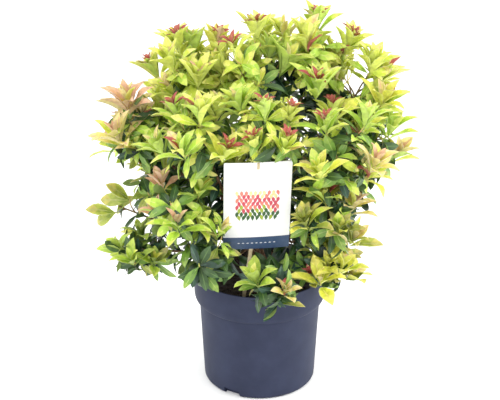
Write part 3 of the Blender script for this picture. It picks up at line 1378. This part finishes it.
def leaf_material(tint, part, colour):
    """The material of one part of a leaf of one tint."""
    old = tint in LEATHERY and part != "underside"
    kind = "leathery_leaf" if tint in LEATHERY else "young_leaf"
    stops = [(0.3, shade_by(colour, 0.90)), (0.5, colour), (0.7, shade_by(colour, 1.08))]
    roughness, specular, coat = OLD_SKIN if old else YOUNG_SKIN
    material = finish(f"{kind}_{tint}_{part}", roughness, 9, stops, detail=3.0, bump=(0.25, 0.0004, 1.6),
                      specular=specular, coat=coat, coat_roughness=0.28)
    if kind == "young_leaf":
        shader = material.node_tree.nodes["Principled BSDF"]
        shader.inputs["Subsurface Weight"].default_value = LEAF_GLOW.get(tint, COMMON_GLOW)
        shader.inputs["Subsurface Radius"].default_value = LEAF_GLOW_COLOUR
        shader.inputs["Subsurface Scale"].default_value = LEAF_GLOW_DEPTH
    return material


# %% Join the leaves by tint
MOST_LEAVES = 2000


def leaf_piece(name, rows, materials):
    """Many placed leaves as one smooth mesh, filled from arrays."""
    points = np.concatenate([row[0] for row in rows])
    bases = np.cumsum([0] + [len(row[0]) for row in rows[:-1]])
    faces = np.concatenate([row[1] + base for row, base in zip(rows, bases)])
    slots = np.concatenate([row[2] for row in rows])
    mesh = bpy.data.meshes.new(name)
    mesh.vertices.add(len(points))
    mesh.vertices.foreach_set("co", points.ravel())
    mesh.loops.add(faces.size)
    mesh.loops.foreach_set("vertex_index", faces.ravel())
    mesh.polygons.add(len(faces))
    mesh.polygons.foreach_set("loop_start", np.arange(len(faces)) * 3)
    item = to_object(name, mesh, materials)
    mesh.polygons.foreach_set("material_index", slots)
    mesh.update(calc_edges=True)
    mesh.validate()
    shade(mesh, 75)
    return item


waiting = ["foliage_" + name for name in MASSES]
for tint, rows in leaf_deal.items():
    materials = [leaf_material(tint, part, colour) for part, colour in zip(PARTS, TINTS[tint])]
    for start in range(0, len(rows), MOST_LEAVES):
        name = f"leaves_{tint}_{start // MOST_LEAVES}"
        place_on(leaf_piece(name, rows[start:start + MOST_LEAVES], materials), "leaf", *waiting)
        waiting = []

# %% [markdown]
# ## The label
# The label is a coated card on a flat wooden stick, whose narrow end comes forward
# through a slit at the top of the card. The print is a design of its own for this part:
# rows of small upright leaves set like scales, in the plant's colours, rose above and
# green below, and a row of small pale leaves on a slate-blue band. It is thin geometry,
# because the part uses no pictures.

# %% Label stick
# Sawn birch: pale and dull, with lines of grain 1.5 mm apart along the stick
wood = finish("birch_label_stick", 0.6, 1.5, [(0.3, "#B9A47C"), (0.6, "#D3C3A0"), (0.8, "#E2D6BC")],
              detail=3.0, stretch=0.06)
STICK_EDGE = 0.0004


def bevelled_box(size, offset, segments, corners_only=False):
    """A box with bevelled edges, or with only its four edges from front to back bevelled."""
    bm = bmesh.new()
    bmesh.ops.create_cube(bm, size=1.0)
    bmesh.ops.scale(bm, vec=size, verts=bm.verts)
    edges = [e for e in bm.edges
             if not corners_only or abs(e.verts[0].co.y - e.verts[1].co.y) > size[1] / 2]
    bmesh.ops.bevel(bm, geom=edges, offset=offset, affect="EDGES", segments=segments, profile=0.5,
                    material=-1)
    return bm


bm = bevelled_box((STICK_WIDTH, STICK_THICK, STICK_LENGTH), STICK_EDGE, 2)
middle = STICK_FOOT + STICK_AXES[:, 2] * (STICK_LENGTH / 2 - STICK_DEPTH)
for v in bm.verts:
    v.co = Vector(middle + STICK_AXES @ np.array(v.co))
stick = from_bmesh("label_stick_wood", bm, [wood], smooth=40)
place_on(stick, "label_stick", "label_stick")

# %% Card
BAND_HEIGHT = 0.026
CARD_CORNER = 0.0022
CARD_CURL = 0.0025
CARD_CUTS = 10

# Coated card: smooth and faintly glossy, a touch off white
card_white = finish("coated_card_white", 0.35, 18, [(0.3, "#F9F9F8"), (0.7, "#FEFEFE")])
card_blue = finish("printed_band_slate_blue", 0.38, 7, [(0.3, "#3B4F6E"), (0.7, "#435877")])


def card_point(right, away, up):
    """A point of the card's own frame, with the card's slight curl, in the plant's frame."""
    curl = CARD_CURL * (2 * right / CARD_WIDTH) ** 2
    return Vector(CARD_CENTRE + CARD_AXES @ np.array([right, away + curl, up]))


band_top = BAND_HEIGHT - CARD_HEIGHT / 2
bm = bevelled_box((CARD_WIDTH, CARD_THICK, CARD_HEIGHT), CARD_CORNER, 4, corners_only=True)
cuts = [((place, 0, 0), (1, 0, 0)) for place in np.linspace(-0.45, 0.45, CARD_CUTS) * CARD_WIDTH]
for place, normal in cuts + [((0, 0, band_top), (0, 0, 1))]:
    everything = bm.verts[:] + bm.edges[:] + bm.faces[:]
    bmesh.ops.bisect_plane(bm, geom=everything, plane_co=place, plane_no=normal)
for face in bm.faces:
    face.material_index = int(face.calc_center_median().z < band_top and face.normal.y < -0.5)
for v in bm.verts:
    v.co = card_point(*v.co)
card = from_bmesh("label_card_coated", bm, [card_white, card_blue], smooth=40)
place_on(card, "printed_card", "label_card")

# %% Printed leaves
PRINT_ROWS = 8
PRINT_COLUMNS = 10
PRINT_STEP = (0.0082, 0.0074)
PRINT_MIDDLE = 0.002
PRINT_LEAF = (0.0128, 0.0062)
PRINT_SLANT = 0.35
PRINT_LIFT = CARD_THICK / 2 + 0.0001
PRINT_LAYER = 0.00002
PRINT_SEED = 5
PRINT_COLOURS = {"rose_ink": "#CF4F60", "coral_ink": "#E58474", "cream_ink": "#EBDDA0",
                 "lime_ink": "#A4B440", "green_ink": "#3F6238", "white_ink": "#E8ECF2"}
ROW_INKS = ((2, 1, 1), (1, 0, 2), (0, 0, 1), (0, 1, 0), (0, 1, 3), (3, 2, 0, 4), (4, 3, 4), (4, 4, 3))
BAND_LEAVES = 9
BAND_LEAF = (0.0052, 0.0022)

# Printing ink: a thin satin film, slightly uneven from the press
inks = [finish("printing_" + ink_name, 0.4, 3, [(0.35, shade_by(colour, 0.92)), (0.65, colour)], detail=1.0)
        for ink_name, colour in PRINT_COLOURS.items()]


def print_leaf(bm, middle, slant, size, ink, lift):
    """Print one leaf on the card: its middle, its slant in the card's plane, and its ink."""
    before = set(bm.faces)
    for v in bmesh.ops.create_grid(bm, x_segments=6, y_segments=2, size=0.5)["verts"]:
        share = v.co.x + 0.5
        along = size[0] * (share - 0.5)
        wide = np.sign(round(v.co.y, 3)) * leaf_outline(share) * size[1]
        v.co = card_point(middle[0] + along * math.cos(slant) - wide * math.sin(slant), -lift,
                          middle[1] + along * math.sin(slant) + wide * math.cos(slant))
    for face in set(bm.faces) - before:
        face.material_index = ink


chance = np.random.default_rng(PRINT_SEED)
bm = bmesh.new()
for row in range(PRINT_ROWS):
    height = PRINT_MIDDLE + ((PRINT_ROWS - 1) / 2 - row) * PRINT_STEP[1]
    for column in range(PRINT_COLUMNS - row % 2):
        place = (column - (PRINT_COLUMNS - 1 - row % 2) / 2) * PRINT_STEP[0]
        slant = math.pi / 2 + chance.uniform(-PRINT_SLANT, PRINT_SLANT)
        print_leaf(bm, (place, height), slant, PRINT_LEAF, int(chance.choice(ROW_INKS[row])),
                   PRINT_LIFT + PRINT_LAYER * (row * PRINT_COLUMNS + column) / PRINT_ROWS)
for index in range(BAND_LEAVES):
    place = (index - (BAND_LEAVES - 1) / 2) * PRINT_STEP[0]
    print_leaf(bm, (place, (BAND_HEIGHT - CARD_HEIGHT) / 2), 0.0, BAND_LEAF, len(inks) - 1, PRINT_LIFT)
print_rows = from_bmesh("label_printed_leaves", bm, inks)
place_on(print_rows, "printed_card")

# %% The stick's end
# The stick is cut narrower above the card's slit and lies on the card's face there
TONGUE_WIDTH = 0.0046
TONGUE_LENGTH = 0.0135
TONGUE_THICK = 0.0009
TONGUE_TOP = CARD_HEIGHT / 2 - 0.0004
TONGUE_CORNER = 0.0012

bm = bevelled_box((TONGUE_WIDTH, TONGUE_THICK, TONGUE_LENGTH), TONGUE_CORNER, 4, corners_only=True)
for v in bm.verts:
    v.co = card_point(v.co.x, v.co.y - CARD_THICK / 2 - TONGUE_THICK / 2,
                      v.co.z + TONGUE_TOP - TONGUE_LENGTH / 2)
tongue = from_bmesh("label_stick_end", bm, [wood], smooth=40)
place_on(tongue, "label_stick")
